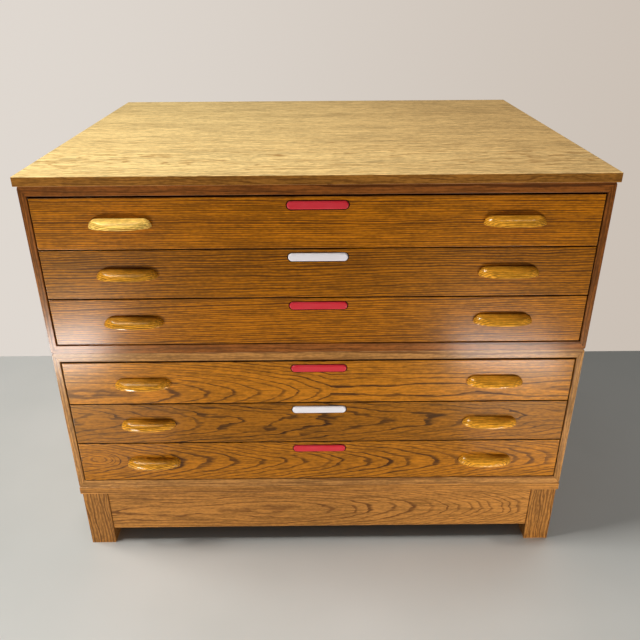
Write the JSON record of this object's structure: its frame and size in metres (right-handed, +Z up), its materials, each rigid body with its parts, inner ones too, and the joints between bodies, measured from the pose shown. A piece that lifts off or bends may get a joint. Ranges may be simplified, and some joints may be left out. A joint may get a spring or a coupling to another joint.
{
  "type": "flat file cabinet",
  "caption": "Oak cabinet of wide shallow sliding drawers for flat sheets, in stacked cases on a leg frame, with raised wooden pulls and plastic label tabs.",
  "frame": {"origin": "on the floor, under the middle of the whole outline, pulls included", "axes": "+Z up, +X to the right of someone facing the drawers, drawers face and open towards -Y"},
  "size_m": [1.273, 1.0106, 1.0204],
  "materials": {
    "oak_top": "light golden oak under satin lacquer, grain from side to side",
    "oak_case": "red-brown oak under satin lacquer",
    "oak_front_amber": "amber oak, straight ribbed grain, satin lacquer",
    "oak_front_figured": "amber oak, flamed grain with dark figure, satin lacquer",
    "oak_base": "amber oak under satin lacquer",
    "drawer_box_wood": "plain pale hardwood, unfinished",
    "back_ply": "plywood, thinly varnished",
    "drawer_ply": "plywood, unfinished",
    "red_plastic": "smooth crimson plastic with a soft gloss",
    "white_plastic": "smooth off-white plastic with a soft gloss"
  },
  "bodies": {
    "cabinet": {"base_leg_front_left": "oak_base", "base_leg_front_right": "oak_base", "base_leg_back_left": "oak_base", "base_leg_back_right": "oak_base", "base_apron_front": "oak_base", "base_apron_back": "oak_base", "base_apron_left": "oak_base", "base_apron_right": "oak_base", "base_strip_front": "oak_base", "base_strip_back": "oak_base", "base_strip_left": "oak_base", "base_strip_right": "oak_base", "lower_case_left_side": "oak_case", "lower_case_right_side": "oak_case", "lower_case_top": "oak_case", "lower_case_bottom": "oak_case", "lower_case_back": "back_ply", "upper_case_left_side": "oak_case", "upper_case_right_side": "oak_case", "upper_case_top": "oak_case", "upper_case_bottom": "oak_case", "upper_case_back": "back_ply", "top_board": "oak_top"},
    "drawer_1": {"drawer_1_front": "oak_front_amber", "drawer_1_left_side": "drawer_box_wood", "drawer_1_right_side": "drawer_box_wood", "drawer_1_back": "drawer_box_wood", "drawer_1_bottom": "drawer_ply", "drawer_1_tab": "red_plastic"},
    "drawer_2": {"drawer_2_front": "oak_front_amber", "drawer_2_left_side": "drawer_box_wood", "drawer_2_right_side": "drawer_box_wood", "drawer_2_back": "drawer_box_wood", "drawer_2_bottom": "drawer_ply", "drawer_2_tab": "white_plastic"},
    "drawer_3": {"drawer_3_front": "oak_front_amber", "drawer_3_left_side": "drawer_box_wood", "drawer_3_right_side": "drawer_box_wood", "drawer_3_back": "drawer_box_wood", "drawer_3_bottom": "drawer_ply", "drawer_3_tab": "red_plastic"},
    "drawer_4": {"drawer_4_front": "oak_front_figured", "drawer_4_left_side": "drawer_box_wood", "drawer_4_right_side": "drawer_box_wood", "drawer_4_back": "drawer_box_wood", "drawer_4_bottom": "drawer_ply", "drawer_4_tab": "red_plastic"},
    "drawer_5": {"drawer_5_front": "oak_front_figured", "drawer_5_left_side": "drawer_box_wood", "drawer_5_right_side": "drawer_box_wood", "drawer_5_back": "drawer_box_wood", "drawer_5_bottom": "drawer_ply", "drawer_5_tab": "white_plastic"},
    "drawer_6": {"drawer_6_front": "oak_front_figured", "drawer_6_left_side": "drawer_box_wood", "drawer_6_right_side": "drawer_box_wood", "drawer_6_back": "drawer_box_wood", "drawer_6_bottom": "drawer_ply", "drawer_6_tab": "red_plastic"}
  },
  "joints": [
    {"name": "drawer_1_slide", "type": "slide", "parent": "cabinet", "child": "drawer_1", "axis": [0, -1, 0], "range_m": [0, 0.62]},
    {"name": "drawer_2_slide", "type": "slide", "parent": "cabinet", "child": "drawer_2", "axis": [0, -1, 0], "range_m": [0, 0.62]},
    {"name": "drawer_3_slide", "type": "slide", "parent": "cabinet", "child": "drawer_3", "axis": [0, -1, 0], "range_m": [0, 0.62]},
    {"name": "drawer_4_slide", "type": "slide", "parent": "cabinet", "child": "drawer_4", "axis": [0, -1, 0], "range_m": [0, 0.62]},
    {"name": "drawer_5_slide", "type": "slide", "parent": "cabinet", "child": "drawer_5", "axis": [0, -1, 0], "range_m": [0, 0.62]},
    {"name": "drawer_6_slide", "type": "slide", "parent": "cabinet", "child": "drawer_6", "axis": [0, -1, 0], "range_m": [0, 0.62]}
  ]
}
